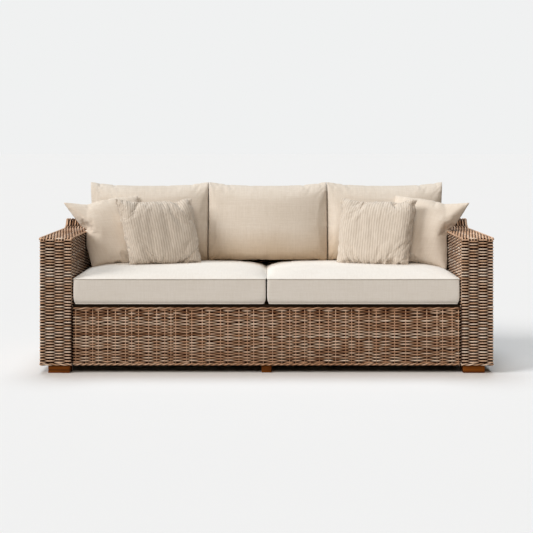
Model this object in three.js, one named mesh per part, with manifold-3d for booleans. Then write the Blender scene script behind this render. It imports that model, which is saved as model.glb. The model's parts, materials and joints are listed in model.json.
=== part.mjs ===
// A three-seat rattan garden sofa: a woven cane skin over a jointed timber frame on six wooden feet,
// with two boxed seat cushions, three back cushions and four loose throw pillows.
// Millimetres, +Z up, +X to the viewer's right, and the sofa faces -Y.
// The origin is on the floor, under the middle of the sofa.
import * as THREE from "three";
import { mergeVertices } from "three/addons/utils/BufferGeometryUtils.js";
import Module from "manifold-3d";

const wasm = await Module();
wasm.setup();

// Overall sizes
const sofaWidth = 2200;
const sofaDepth = 900;
const armWidth = 160;
const armHeight = 660;
const backRiseHeight = 46;
const backThickness = 60;
const sweepLength = 77;
const groundClearanceHeight = 36;

// Woven cane skin
const skinThickness = 14;
const skinGap = 0.5;
const cornerRadius = 14;
const skirtRecessDepth = 12;
const skirtTopDropHeight = 3;
const borderRollHeight = 16;
const borderRollDepth = 4;
const borderChamferShare = 0.25;
const skinBelowDeckHeight = 13;
const weaveCellWidth = 120;
const weaveCellHeight = 104;
const weaveReliefDepth = 6;
const weaveBandWidth = 8;

// Timber frame
const fitGap = 0.3;
const postWidth = 28;
const railThickness = 28;
const lowerRailHeight = 40;
const seatRailHeight = 60;
const armRailHeight = 28;
const tenonLength = 16;
const tenonShare = 0.5;
const slatCount = 8;
const slatWidth = 70;
const slatThickness = 15;

// Feet and their bolts
const footHeight = 44;
const footWidth = 105;
const centreFootWidth = 48;
const footDepth = 80;
const footInsetGap = 0.5;
const boltRadius = 4;
const boltLength = 64;
const boltHeadRadius = 8;
const boltHeadHeight = 6;
const boltHeadDepth = 14;
const counterboreClearance = 1.2;

// Seat cushions
const deckHeight = 335;
const seatCushionHeight = 122;
const seatCrownHeight = 34;
const seatCushionGap = 1.5;
const seatSideBulgeWidth = 6;
const seatCornerPullWidth = 14;
const seatFrontSetbackDepth = 4;
const seatRearGap = 5;

// Back cushions
const backCushionHeight = 414;
const backCushionThickness = 226;
const backCushionGap = 3;
const backCushionEdgeThickness = 10;
const backCushionLeanAngle = 13;
const backCushionDipDepth = 16;
const backSidePullWidth = 4;
const backCushionSpreadWidth = 16;
const backCushionCreepWidth = 14;

// Throw pillows. Both lean and turn alike, so the striped one rests flat on the plain one.
const pillowYawAngle = 20;
const pillowLeanAngle = 22;
const pillowEdgeThickness = 8;
const pillowGap = 6;
const pillowOverlapShare = 0.86;
const rightPillowOffset = 28;
const plainPillowWidth = 396;
const plainPillowHeight = 345;
const plainPillowThickness = 136;
const plainPillowTiltAngle = 19;
const plainPillowEarLength = 16;
const plainPillowArmGap = 35;
const plainPillowBackGap = 37;
const stripedPillowWidth = 392;
const stripedPillowHeight = 330;
const stripedPillowThickness = 124;
const stripedPillowTiltAngle = 5;
const stripedPillowEarLength = 12;
const stripedPillowArmGap = 244;
const seatRestGap = 1;

// Places worked out from the sizes above
const halfWidth = sofaWidth / 2;
const armInner = halfWidth - armWidth;
const front = -sofaDepth / 2;
const rear = sofaDepth / 2;
const backHeight = armHeight + backRiseHeight;
const backFace = rear - backThickness;
const skinDepth = skinThickness + skinGap;
const cavityFront = backFace + skinDepth;
const cavityRear = rear - skinDepth;
const skirtFront = front + skirtRecessDepth;
const frontRail = [skirtFront + skinDepth, skirtFront + skinDepth + railThickness];
const rearSeatRail = [backFace - fitGap - railThickness, backFace - fitGap];
const deckUnderside = deckHeight - slatThickness;
const seatRailHeights = [deckUnderside - fitGap - seatRailHeight, deckUnderside - fitGap];
const lowerRailHeights = [footHeight, footHeight + lowerRailHeight];
const armRailTop = armHeight - skinDepth;
const backRailTop = backHeight - skinDepth;
const seatSeam = deckHeight + fitGap + seatCushionHeight;
const seatTop = seatSeam + seatCrownHeight;

// Colours read from the photograph
const caneColour = new THREE.MeshStandardMaterial({ color: 0x8a6a50, roughness: 0.7, metalness: 0 });
const timberColour = new THREE.MeshStandardMaterial({ color: 0x9c7650, roughness: 0.75, metalness: 0 });
const footColour = new THREE.MeshStandardMaterial({ color: 0x8c4a22, roughness: 0.5, metalness: 0 });
const boltColour = new THREE.MeshStandardMaterial({ color: 0xb4b4b0, roughness: 0.35, metalness: 1 });
const seatColour = new THREE.MeshStandardMaterial({ color: 0xd8d0c4, roughness: 0.95, metalness: 0 });
const backColour = new THREE.MeshStandardMaterial({ color: 0xd2c4b0, roughness: 0.95, metalness: 0 });
const plainColour = new THREE.MeshStandardMaterial({ color: 0xdcd4c6, roughness: 0.95, metalness: 0 });
const stripedColour = new THREE.MeshStandardMaterial({ color: 0xc4b4a0, roughness: 0.95, metalness: 0 });

// Keeps only the positions of a geometry, with shared vertices merged.
function weld(geometry) {
  const bare = geometry.clone();
  bare.deleteAttribute("normal");
  bare.deleteAttribute("uv");
  return mergeVertices(bare);
}

function solidOf(geometry) {
  const welded = weld(geometry);
  return new wasm.Manifold(
    new wasm.Mesh({
      numProp: 3,
      vertProperties: new Float32Array(welded.getAttribute("position").array),
      triVerts: new Uint32Array(welded.index.array),
    }),
  );
}

function geometryOf(solid) {
  const mesh = solid.getMesh();
  const geometry = new THREE.BufferGeometry();
  geometry.setAttribute("position", new THREE.BufferAttribute(new Float32Array(mesh.vertProperties), 3));
  geometry.setIndex(new THREE.BufferAttribute(new Uint32Array(mesh.triVerts), 1));
  geometry.computeVertexNormals();
  return geometry;
}

// A block between two places along each axis.
function block([x0, x1], [y0, y1], [z0, z1]) {
  const geometry = new THREE.BoxGeometry(x1 - x0, y1 - y0, z1 - z0);
  return geometry.translate((x0 + x1) / 2, (y0 + y1) / 2, (z0 + z1) / 2);
}

const grown = ([low, high], by) => [low - by, high + by];
const mirrored = ([low, high]) => [-high, -low];
const centred = (middle, size) => [middle - size / 2, middle + size / 2];

// An outline of [y, z] points carried along X from x0 to x1.
function alongX(outline, [x0, x1]) {
  const shape = new THREE.Shape(outline.map(([y, z]) => new THREE.Vector2(y, z)));
  const geometry = new THREE.ExtrudeGeometry(shape, { depth: x1 - x0, bevelEnabled: false });
  geometry.applyMatrix4(new THREE.Matrix4().set(0, 0, 1, x0, 1, 0, 0, 0, 0, 1, 0, 0, 0, 0, 0, 1));
  return geometry;
}

// A plan shape carried up from z0 to z1.
function upwards(shape, [z0, z1], arcSegments) {
  const settings = { depth: z1 - z0, bevelEnabled: false, curveSegments: arcSegments };
  return new THREE.ExtrudeGeometry(shape, settings).translate(0, 0, z0);
}

const sofa = new THREE.Group();

function add(name, shape, material) {
  const geometry = shape.isBufferGeometry ? shape : geometryOf(shape);
  const mesh = new THREE.Mesh(geometry, material);
  mesh.name = name;
  sofa.add(mesh);
  return mesh;
}

// The top line of an arm seen from the side, lowered by a thickness: it is level, then sweeps up to the back
// in a hollow curve.
function armTopLine(lowered) {
  const sweepStart = backFace - sweepLength;
  const reach = sweepLength + lowered;
  const rise = backRiseHeight + lowered;
  const lastAngle = Math.acos(lowered / rise);
  const steps = 6;
  const line = [[front, armHeight - lowered]];
  for (let i = 0; i <= steps; i++) {
    const angle = (lastAngle * i) / steps;
    line.push([sweepStart + reach * Math.sin(angle), backHeight - rise * Math.cos(angle)]);
  }
  line.push([rear, backHeight - lowered]);
  return line;
}

// The plan of an arm's skin: outer, front and inner walls, with rounded front corners.
function armPlan() {
  const innerEnd = backFace + skinThickness;
  const plan = new THREE.Shape();
  plan.moveTo(halfWidth, rear);
  plan.lineTo(halfWidth - skinThickness, rear);
  plan.lineTo(halfWidth - skinThickness, front + skinThickness);
  plan.lineTo(armInner + skinThickness, front + skinThickness);
  plan.lineTo(armInner + skinThickness, innerEnd);
  plan.lineTo(armInner, innerEnd);
  plan.lineTo(armInner, front + cornerRadius);
  plan.absarc(armInner + cornerRadius, front + cornerRadius, cornerRadius, Math.PI, Math.PI * 1.5);
  plan.absarc(halfWidth - cornerRadius, front + cornerRadius, cornerRadius, Math.PI * 1.5, Math.PI * 2);
  plan.lineTo(halfWidth, rear);
  return plan;
}

// The plan of an arm's top, with the same front corners.
function armTopPlan() {
  const plan = new THREE.Shape();
  plan.moveTo(halfWidth, rear);
  plan.lineTo(armInner, rear);
  plan.lineTo(armInner, front + cornerRadius);
  plan.absarc(armInner + cornerRadius, front + cornerRadius, cornerRadius, Math.PI, Math.PI * 1.5);
  plan.absarc(halfWidth - cornerRadius, front + cornerRadius, cornerRadius, Math.PI * 1.5, Math.PI * 2);
  plan.lineTo(halfWidth, rear);
  return plan;
}

// Cuts the hollows of a coarse basket weave into a wall: in each course every other cell lies lower. `placed`
// turns a cell's places along the wall and up it into the block that is cut away.
function woven(wall, alongRange, upRange, placed) {
  const columns = Math.max(1, Math.round((alongRange[1] - alongRange[0]) / weaveCellWidth));
  const courses = Math.max(1, Math.round((upRange[1] - upRange[0]) / weaveCellHeight));
  const cell = ([low, high], count, i) => {
    const size = (high - low) / count;
    return grown([low + size * i, low + size * (i + 1)], -weaveBandWidth / 2);
  };
  let relief = wall;
  for (let i = 0; i < columns; i++) {
    for (let j = i % 2; j < courses; j += 2) {
      const ranges = placed(cell(alongRange, columns, i), cell(upRange, courses, j));
      relief = relief.subtract(solidOf(block(...ranges)));
    }
  }
  return relief;
}

// The walls of the right arm. Below the seat only a short return of the inner wall is left.
function armWalls() {
  const arcSegments = 3;
  const walls = solidOf(upwards(armPlan(), [groundClearanceHeight, backHeight], arcSegments));
  const outline = [[front, groundClearanceHeight], [rear, groundClearanceHeight]];
  outline.push(...armTopLine(skinThickness + fitGap).reverse());
  const side = solidOf(alongX(outline, [armInner, halfWidth]));
  const innerBottom = deckHeight - skinBelowDeckHeight;
  const underSeat = block(
    [armInner - skinThickness, armInner + skinThickness + skinGap],
    [skirtFront + skinThickness, rear],
    [0, innerBottom],
  );
  const plain = walls.intersect(side).subtract(solidOf(underSeat));
  const rolledFoot = groundClearanceHeight + borderRollHeight;
  const rolledTop = armHeight - skinThickness - borderRollHeight;
  const flatFront = front + cornerRadius;
  const frontFace = [armInner + cornerRadius, halfWidth - cornerRadius];
  const frontHollow = grown([front, front], weaveReliefDepth);
  const outerHollow = grown([halfWidth, halfWidth], weaveReliefDepth);
  const innerHollow = grown([armInner, armInner], weaveReliefDepth);
  const outside = woven(plain, [flatFront, rear], [rolledFoot, rolledTop], (y, z) => [outerHollow, y, z]);
  const faced = woven(outside, frontFace, [rolledFoot, rolledTop], (x, z) => [x, frontHollow, z]);
  return woven(faced, [flatFront, backFace], [innerBottom, rolledTop], (y, z) => [innerHollow, y, z]);
}

// The top of the right arm, which runs up the sweep and over the end of the back.
function armTop() {
  const arcSegments = 3;
  const outline = [...armTopLine(0), ...armTopLine(skinThickness).reverse()];
  const strip = solidOf(alongX(outline, [armInner, halfWidth]));
  return strip.intersect(solidOf(upwards(armTopPlan(), [0, backHeight], arcSegments)));
}

// The front skirt under the seat, with a rolled border along its top and bottom.
function skirt() {
  const back = skirtFront + skinThickness;
  const top = deckHeight - skirtTopDropHeight;
  const proud = skirtFront - borderRollDepth;
  const rollTop = top - borderRollHeight;
  const rollBottom = groundClearanceHeight + borderRollHeight;
  const chamfer = borderRollHeight * borderChamferShare;
  const outline = [
    [back, groundClearanceHeight],
    [back, top],
    [skirtFront, top],
    [proud, top - chamfer],
    [proud, rollTop + chamfer],
    [skirtFront, rollTop],
    [skirtFront, rollBottom],
    [proud, rollBottom - chamfer],
    [proud, groundClearanceHeight + chamfer],
    [skirtFront, groundClearanceHeight],
  ];
  const run = [fitGap - armInner, armInner - fitGap];
  const hollow = grown([skirtFront, skirtFront], weaveReliefDepth);
  return woven(solidOf(alongX(outline, run)), run, [rollBottom, rollTop], (x, z) => [x, hollow, z]);
}

// The back's skin: an inner panel above the deck, a top strip, and a rear panel that reaches behind the arms.
function backSkin() {
  const between = armInner - fitGap;
  const rearHalf = halfWidth - skinThickness - fitGap;
  const shoulder = backHeight - skinThickness - fitGap;
  const innerBottom = deckHeight - skinBelowDeckHeight;
  const rearWall = [rear - skinThickness, rear];
  const innerWall = [backFace, backFace + skinThickness];
  const topWall = [backHeight - skinThickness, backHeight];
  const lower = solidOf(block([-rearHalf, rearHalf], rearWall, [groundClearanceHeight, shoulder]));
  const upper = solidOf(block([-between, between], rearWall, [deckHeight, backHeight]));
  const top = solidOf(block([-between, between], [backFace, rear], topWall));
  const inner = solidOf(block([-between, between], innerWall, [innerBottom, backHeight]));
  const plain = lower.add(upper).add(top).add(inner);
  const rolledFoot = groundClearanceHeight + borderRollHeight;
  const rolledTop = backHeight - skinThickness - borderRollHeight;
  const hollow = grown([rear, rear], weaveReliefDepth);
  return woven(plain, [-rearHalf, rearHalf], [rolledFoot, rolledTop], (x, z) => [x, hollow, z]);
}

// The timber members, as blocks between places along X, Y and Z.
const outerPost = [halfWidth - skinDepth - postWidth, halfWidth - skinDepth];
const innerPost = [armInner + skinDepth, armInner + skinDepth + postWidth];
const frontPost = [front + skinDepth, frontRail[1]];
const cavity = [cavityFront, cavityRear];
const betweenPosts = [frontRail[1] + fitGap, cavityFront - fitGap];
const armRailRun = [frontPost[0], cavityFront - fitGap];
const uprightPlace = armInner / 3;
const frame = new Map([
  ["front_lower_rail", [grown([0, 0], outerPost[1]), frontRail, lowerRailHeights]],
  ["rear_lower_rail", [grown([0, 0], outerPost[1]), cavity, lowerRailHeights]],
  ["front_seat_rail", [grown([0, 0], innerPost[0] - fitGap), frontRail, seatRailHeights]],
  ["rear_seat_rail", [grown([0, 0], innerPost[0] - fitGap), rearSeatRail, seatRailHeights]],
  ["back_top_rail", [grown([0, 0], outerPost[1]), cavity, [backRailTop - armRailHeight, backRailTop]]],
  [
    "seat_centre_bearer",
    [centred(0, railThickness), [frontRail[1] + fitGap, rearSeatRail[0] - fitGap], seatRailHeights],
  ],
]);
const backPostHeights = [lowerRailHeights[1] + fitGap, backRailTop - armRailHeight - fitGap];
const frontPostHeights = [lowerRailHeights[1] + fitGap, armRailTop - armRailHeight - fitGap];
const armRailHeights = [armRailTop - armRailHeight, armRailTop];
for (const [side, turn] of [["left", mirrored], ["right", (range) => range]]) {
  frame.set(`${side}_back_upright`, [turn(centred(uprightPlace, postWidth)), cavity, backPostHeights]);
  frame.set(`${side}_outer_front_post`, [turn(outerPost), frontPost, frontPostHeights]);
  frame.set(`${side}_inner_front_post`, [turn(innerPost), frontPost, frontPostHeights]);
  frame.set(`${side}_outer_rear_post`, [turn(outerPost), cavity, backPostHeights]);
  frame.set(`${side}_inner_rear_post`, [turn(innerPost), cavity, backPostHeights]);
  frame.set(`${side}_outer_arm_rail`, [turn(outerPost), armRailRun, armRailHeights]);
  frame.set(`${side}_inner_arm_rail`, [turn(innerPost), armRailRun, armRailHeights]);
  frame.set(`${side}_outer_lower_rail`, [turn(outerPost), betweenPosts, lowerRailHeights]);
  frame.set(`${side}_inner_seat_rail`, [turn(innerPost), betweenPosts, seatRailHeights]);
}

// Where a member is tenoned into another: the end that carries the tenon is its low (0) or high (1) end
// along axis 0, 1 or 2 (X, Y or Z).
const joints = [
  ["front_seat_rail", 0, 0, "left_inner_front_post"],
  ["front_seat_rail", 0, 1, "right_inner_front_post"],
  ["rear_seat_rail", 0, 0, "left_inner_seat_rail"],
  ["rear_seat_rail", 0, 1, "right_inner_seat_rail"],
  ["seat_centre_bearer", 1, 0, "front_seat_rail"],
  ["seat_centre_bearer", 1, 1, "rear_seat_rail"],
];
for (const side of ["left", "right"]) {
  joints.push([`${side}_back_upright`, 2, 0, "rear_lower_rail"]);
  joints.push([`${side}_back_upright`, 2, 1, "back_top_rail"]);
  for (const place of ["outer", "inner"]) {
    joints.push([`${side}_${place}_front_post`, 2, 0, "front_lower_rail"]);
    joints.push([`${side}_${place}_front_post`, 2, 1, `${side}_${place}_arm_rail`]);
    joints.push([`${side}_${place}_rear_post`, 2, 0, "rear_lower_rail"]);
    joints.push([`${side}_${place}_rear_post`, 2, 1, "back_top_rail"]);
    joints.push([`${side}_${place}_arm_rail`, 1, 1, `${side}_${place}_rear_post`]);
  }
  joints.push([`${side}_outer_lower_rail`, 1, 0, "front_lower_rail"]);
  joints.push([`${side}_outer_lower_rail`, 1, 1, "rear_lower_rail"]);
  joints.push([`${side}_inner_seat_rail`, 1, 0, `${side}_inner_front_post`]);
  joints.push([`${side}_inner_seat_rail`, 1, 1, `${side}_inner_rear_post`]);
}

// The block of a tenon, let into the second member and rooted as deep in the first. It is centred where the
// two members meet, but a tenon along X sits in the upper half of that and one along Y in the lower half, so
// that two of them can enter the same post.
function tenonRanges([carrier, axis, end, mate]) {
  return [0, 1, 2].map((along) => {
    const own = frame.get(carrier)[along];
    const other = frame.get(mate)[along];
    if (along === axis) return grown([own[end], own[end]], tenonLength);
    let low = Math.max(own[0], other[0]);
    let high = Math.min(own[1], other[1]);
    const middle = (low + high) / 2;
    if (along === 2 && axis === 0) low = middle;
    if (along === 2 && axis === 1) high = middle;
    return centred((low + high) / 2, (high - low) * tenonShare);
  });
}

const timber = new Map([...frame].map(([name, ranges]) => [name, solidOf(block(...ranges))]));
for (const joint of joints) {
  const [carrier, , , mate] = joint;
  const tenon = tenonRanges(joint);
  const mortise = tenon.map((range) => grown(range, fitGap));
  timber.set(carrier, timber.get(carrier).add(solidOf(block(...tenon))));
  timber.set(mate, timber.get(mate).subtract(solidOf(block(...mortise))));
}

// A hexagon-headed bolt, head down, with its head's underside at z = 0.
function bolt(extra) {
  const headSides = 6;
  const shankSides = 11;
  const headRadius = boltHeadRadius + extra;
  const shankRadius = boltRadius + extra;
  const length = boltLength + extra;
  const head = new THREE.CylinderGeometry(headRadius, headRadius, boltHeadHeight, headSides);
  const shank = new THREE.CylinderGeometry(shankRadius, shankRadius, length, shankSides);
  head.rotateX(Math.PI / 2).translate(0, 0, boltHeadHeight / 2);
  shank.rotateX(Math.PI / 2).translate(0, 0, length / 2);
  return solidOf(head).add(solidOf(shank));
}

// One wooden foot under a lower rail, held by a bolt whose head sits up inside a counterbore.
function foot(name, xRange, yRange, railName) {
  const rail = frame.get(railName)[1];
  const boltX = (xRange[0] + xRange[1]) / 2;
  const boltY = (rail[0] + rail[1]) / 2;
  const counterboreSides = 15;
  const counterboreRadius = boltHeadRadius + counterboreClearance;
  const counterboreDepth = boltHeadDepth + boltHeadHeight + fitGap;
  const counterbore = new THREE.CylinderGeometry(
    counterboreRadius,
    counterboreRadius,
    counterboreDepth,
    counterboreSides,
  );
  counterbore.rotateX(Math.PI / 2).translate(boltX, boltY, counterboreDepth / 2);
  const clearanceHole = bolt(fitGap).translate([boltX, boltY, boltHeadDepth]);
  const sunk = solidOf(block(xRange, yRange, [0, footHeight - fitGap]));
  add(name, sunk.subtract(solidOf(counterbore)).subtract(clearanceHole), footColour);
  add(name.replace("foot", "foot_bolt"), bolt(0).translate([boltX, boltY, boltHeadDepth]), boltColour);
  timber.set(railName, timber.get(railName).subtract(clearanceHole));
}

const footX = [innerPost[0] + footInsetGap, innerPost[0] + footInsetGap + footWidth];
const cornerFootFront = [front + skinDepth, front + skinDepth + footDepth];
const cornerFootRear = mirrored(cornerFootFront);
const centreFootFront = [frontRail[0], frontRail[0] + footDepth];
foot("foot_front_left", mirrored(footX), cornerFootFront, "front_lower_rail");
foot("foot_front_right", footX, cornerFootFront, "front_lower_rail");
foot("foot_front_centre", centred(0, centreFootWidth), centreFootFront, "front_lower_rail");
foot("foot_rear_left", mirrored(footX), cornerFootRear, "rear_lower_rail");
foot("foot_rear_right", footX, cornerFootRear, "rear_lower_rail");
foot("foot_rear_centre", centred(0, centreFootWidth), cornerFootRear, "rear_lower_rail");
for (const [name, solid] of timber) add(name, solid, timberColour);

// The slats that carry the seat cushions, laid from the front seat rail to the rear one.
const slatPitch = (2 * armInner) / slatCount;
const slatRun = [frontRail[0], rearSeatRail[1]];
for (let i = 0; i < slatCount; i++) {
  const across = centred((i + 1 / 2) * slatPitch - armInner, slatWidth);
  add(`seat_slat_${i + 1}`, block(across, slatRun, [deckUnderside, deckHeight]), timberColour);
}

// The woven skins. A mirrored mesh makes the left arm.
for (const [side, scale] of [["left", -1], ["right", 1]]) {
  add(`${side}_arm_weave`, armWalls(), caneColour).scale.x = scale;
  add(`${side}_arm_top_weave`, armTop(), caneColour).scale.x = scale;
}
add("front_skirt_weave", skirt(), caneColour);
add("back_weave", backSkin(), caneColour);

// A soft piece: a box of shares from -1 to 1 along each axis, whose points `place` moves to real places.
// The shares crowd towards the edges, where a cushion bends most.
function soft(segments, place) {
  const span = 2;
  const shares = weld(new THREE.BoxGeometry(span, span, span, ...segments));
  const points = shares.getAttribute("position");
  const eased = (share) => Math.sin((share * Math.PI) / 2);
  for (let i = 0; i < points.count; i++) {
    points.setXYZ(i, ...place(eased(points.getX(i)), eased(points.getY(i)), eased(points.getZ(i))));
  }
  shares.computeVertexNormals();
  return shares;
}

// How much of the seat's crown stands over a place, given as shares of the cushion's half sizes.
const crownShare = (across, along) => (1 - across ** 4) * (1 - along ** 4);
const seatHalfWidth = armInner / 2 - seatCushionGap;
const seatRange = [front + seatFrontSetbackDepth, backFace - seatRearGap];
const seatMiddle = (seatRange[0] + seatRange[1]) / 2;
const seatHalfDepth = (seatRange[1] - seatRange[0]) / 2;

// A boxed seat cushion: sides that bulge between two seams, rounded corners and a crowned top.
function seatCushion() {
  return soft([14, 10, 3], (across, along, up) => {
    const inset = seatSideBulgeWidth * up ** 2 + seatCornerPullWidth * (across * along) ** 12;
    const crown = up > 0 ? seatCrownHeight * crownShare(across, along) : 0;
    return [
      across * (seatHalfWidth - inset),
      along * (seatHalfDepth - inset),
      ((up + 1) * seatCushionHeight) / 2 + crown,
    ];
  });
}

const seatX = armInner / 2;
for (const [side, sign] of [["left", -1], ["right", 1]]) {
  const cushion = add(`${side}_seat_cushion`, seatCushion(), seatColour);
  cushion.position.set(sign * seatX, seatMiddle, deckHeight + fitGap);
}

// The height of the seat cushions' tops at a place on them.
function seatSurface(x, y) {
  const across = Math.min(1, Math.abs(Math.abs(x) - seatX) / seatHalfWidth);
  const along = Math.min(1, Math.abs(y - seatMiddle) / seatHalfDepth);
  return seatSeam + seatCrownHeight * crownShare(across, along);
}

// How full a soft piece is at a place: nothing at its seams, and flattened where it stands.
function fullness(across, up, flatShare, power) {
  const standing = up < 0 ? up * flatShare : up;
  return ((1 - across ** 2) * (1 - standing ** 2)) ** power;
}

const slopeOf = (degrees) => Math.tan(THREE.MathUtils.degToRad(degrees));
const backThird = armInner / 3;
const backCushionEnds = [-armInner, -backThird, backThird + backCushionCreepWidth, armInner];
const backCushionReach = (backHeight - seatTop) * slopeOf(backCushionLeanAngle) + backCushionThickness / 2;
const backCushionY = backFace - fitGap - backCushionReach;

// A back cushion: a knife-edged pad leaning on the back, with corners that stand up. The outer ends of the
// outer two spread over the arms; `side` is -1, 0 or 1.
function backCushion(side, halfRun) {
  const flatShare = 0.8;
  const power = 0.42;
  return soft([12, 2, 12], (across, depth, up) => {
    const full = fullness(across, up, flatShare, power);
    const half = (backCushionEdgeThickness + (backCushionThickness - backCushionEdgeThickness) * full) / 2;
    const rise = (up + 1) / 2;
    const pull = backSidePullWidth * (1 - up ** 2);
    const spread = (side * backCushionSpreadWidth * rise ** 4 * (1 + side * across)) / 2;
    const height = rise * backCushionHeight - backCushionDipDepth * (1 - across ** 2) * rise ** 3;
    return [
      across * (halfRun - pull) + spread,
      depth * half + height * slopeOf(backCushionLeanAngle),
      height,
    ];
  });
}

for (const [index, name] of ["left", "centre", "right"].entries()) {
  const [start, end] = backCushionEnds.slice(index, index + 2);
  const halfRun = (end - start - backCushionGap) / 2;
  const cushion = add(`${name}_back_cushion`, backCushion(index - 1, halfRun), backColour);
  cushion.position.set((start + end) / 2, backCushionY, seatTop + seatRestGap);
}

const plainPillow = {
  width: plainPillowWidth,
  height: plainPillowHeight,
  thickness: plainPillowThickness,
  tilt: plainPillowTiltAngle,
  earLength: plainPillowEarLength,
  armGap: plainPillowArmGap,
  inFront: 0,
};
const stripedPillow = {
  width: stripedPillowWidth,
  height: stripedPillowHeight,
  thickness: stripedPillowThickness,
  tilt: stripedPillowTiltAngle,
  earLength: stripedPillowEarLength,
  armGap: stripedPillowArmGap,
  inFront: ((plainPillowThickness + stripedPillowThickness) / 2) * pillowOverlapShare + pillowGap,
};
const yaw = THREE.MathUtils.degToRad(pillowYawAngle);

// The middle of a pillow's foot on the right. The plain pillow's inner end is just in front of the back
// cushions; the other pillow stands parallel to it.
function footMiddle(size) {
  const halfRun = (size.width / 2) * Math.cos(yaw);
  const x = armInner - size.armGap - halfRun;
  const innerEndX = armInner - plainPillow.armGap - plainPillow.width * Math.cos(yaw);
  const innerEndY = backCushionY - backCushionThickness / 2 - plainPillowBackGap;
  return [x, innerEndY - (x - innerEndX) * Math.tan(yaw) - size.inFront / Math.cos(yaw)];
}

// A throw pillow on the right: turned by its yaw, leaning back and tilting outwards, with its foot on the
// seat. `shift` brings its foot nearer the arm.
function pillow(size, shift) {
  const flatShare = 0.86;
  const power = 0.45;
  const [footX, footY] = footMiddle(size);
  return soft([12, 2, 12], (across, depth, up) => {
    const full = fullness(across, up, flatShare, power);
    const half = (pillowEdgeThickness + (size.thickness - pillowEdgeThickness) * full) / 2;
    const rise = (up + 1) / 2;
    const height = rise * (size.height - size.earLength * (1 - across ** 2));
    const outward = across * (size.width / 2 - size.earLength * (1 - up ** 2)) + height * slopeOf(size.tilt);
    const backward = depth * half + height * slopeOf(pillowLeanAngle);
    const x = footX + shift * (1 - rise) + outward * Math.cos(yaw) + backward * Math.sin(yaw);
    const y = footY - outward * Math.sin(yaw) + backward * Math.cos(yaw);
    return [x, y, seatSurface(x, y) + seatRestGap + height];
  });
}

// The arm presses a notch into a plain pillow that lies over it.
function plainPillowSolid(shift) {
  const arm = block([armInner - seatRestGap, sofaWidth], [front, rear], [0, armHeight + seatRestGap]);
  return solidOf(pillow(plainPillow, shift)).subtract(solidOf(arm));
}

for (const [side, scale, shift] of [["left", -1, 0], ["right", 1, rightPillowOffset]]) {
  add(`${side}_plain_pillow`, plainPillowSolid(shift), plainColour).scale.x = scale;
  add(`${side}_striped_pillow`, pillow(stripedPillow, shift), stripedColour).scale.x = scale;
}

export default sofa;
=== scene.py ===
import json
import math

import bmesh
import bpy
import numpy as np
from mathutils import Matrix, Vector

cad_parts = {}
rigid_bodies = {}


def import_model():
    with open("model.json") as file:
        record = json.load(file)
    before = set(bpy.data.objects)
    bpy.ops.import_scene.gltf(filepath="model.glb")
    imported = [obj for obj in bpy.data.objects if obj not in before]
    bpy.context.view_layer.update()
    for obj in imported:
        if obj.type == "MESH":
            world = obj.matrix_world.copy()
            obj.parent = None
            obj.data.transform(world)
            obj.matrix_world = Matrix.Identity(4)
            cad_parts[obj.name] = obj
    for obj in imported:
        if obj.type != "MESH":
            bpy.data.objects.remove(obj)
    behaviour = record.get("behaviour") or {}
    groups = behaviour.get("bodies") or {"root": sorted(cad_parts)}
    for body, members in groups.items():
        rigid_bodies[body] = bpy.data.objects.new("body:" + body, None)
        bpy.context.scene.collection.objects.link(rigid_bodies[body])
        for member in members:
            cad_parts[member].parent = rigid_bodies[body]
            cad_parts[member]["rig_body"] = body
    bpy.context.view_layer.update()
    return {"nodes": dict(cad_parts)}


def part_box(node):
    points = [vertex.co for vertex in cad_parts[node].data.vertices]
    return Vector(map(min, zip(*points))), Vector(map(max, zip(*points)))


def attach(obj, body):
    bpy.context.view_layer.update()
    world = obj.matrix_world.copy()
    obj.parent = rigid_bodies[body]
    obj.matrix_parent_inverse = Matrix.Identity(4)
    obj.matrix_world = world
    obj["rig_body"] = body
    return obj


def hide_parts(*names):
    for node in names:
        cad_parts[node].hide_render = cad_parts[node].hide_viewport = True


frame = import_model()

# Rattan garden sofa: woven cane walls on a timber frame, loose seat and back cushions, four pillows.
# Metres, the sofa faces -Y, the floor is z = 0.

scene = bpy.context.scene
scene.view_settings.view_transform = "Standard"

cameraSetup = {
    "distance": 6.604,  # from the middle of the sofa to the lens
    "height": 1.085,
    "lens": 85.84,
    "sensorWidth": 36,
    "horizonRow": 149.5,  # of the photo's 533 rows
    "rows": 533,
}
bpy.ops.object.camera_add(
    location=(0, -cameraSetup["distance"], cameraSetup["height"]), rotation=(math.pi / 2, 0, 0)
)
camera = bpy.context.object
camera.data.lens = cameraSetup["lens"]
camera.data.sensor_width = cameraSetup["sensorWidth"]
camera.data.shift_y = cameraSetup["horizonRow"] / cameraSetup["rows"] - 0.5
scene.camera = camera

# sideAngle is how far a lamp stands to the left of the viewer, so that 180 is right behind the sofa
lamps = {
    "keyLamp": {"strength": 2.2, "heightAngle": 30, "sideAngle": 66, "softness": 30,
                "colour": (1, 0.98, 0.955)},
    "topLamp": {"strength": 1.66, "heightAngle": 70, "sideAngle": 174, "softness": 34,
                "colour": (0.86, 0.945, 1)},
    "fillLamp": {"strength": 0.99, "heightAngle": 40, "sideAngle": 8, "softness": 36,
                 "colour": (1, 0.865, 0.73)},
}
for name, look in lamps.items():
    bpy.ops.object.light_add(type="SUN", location=(0, 0, 3))
    lamp = bpy.context.object
    lamp.name = name
    lamp.rotation_euler = (math.radians(90 - look["heightAngle"]), 0, math.radians(-look["sideAngle"]))
    lamp.data.energy = look["strength"]
    lamp.data.angle = math.radians(look["softness"])
    lamp.data.color = look["colour"]


def addNode(tree, kind, inputs=None, **settings):
    node = tree.nodes.new("ShaderNode" + kind)
    for key, value in settings.items():
        setattr(node, key, value)
    for key, value in (inputs or {}).items():
        if isinstance(value, bpy.types.NodeSocket):
            tree.links.new(value, node.inputs[key])
        else:
            node.inputs[key].default_value = value
    return node


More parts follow.
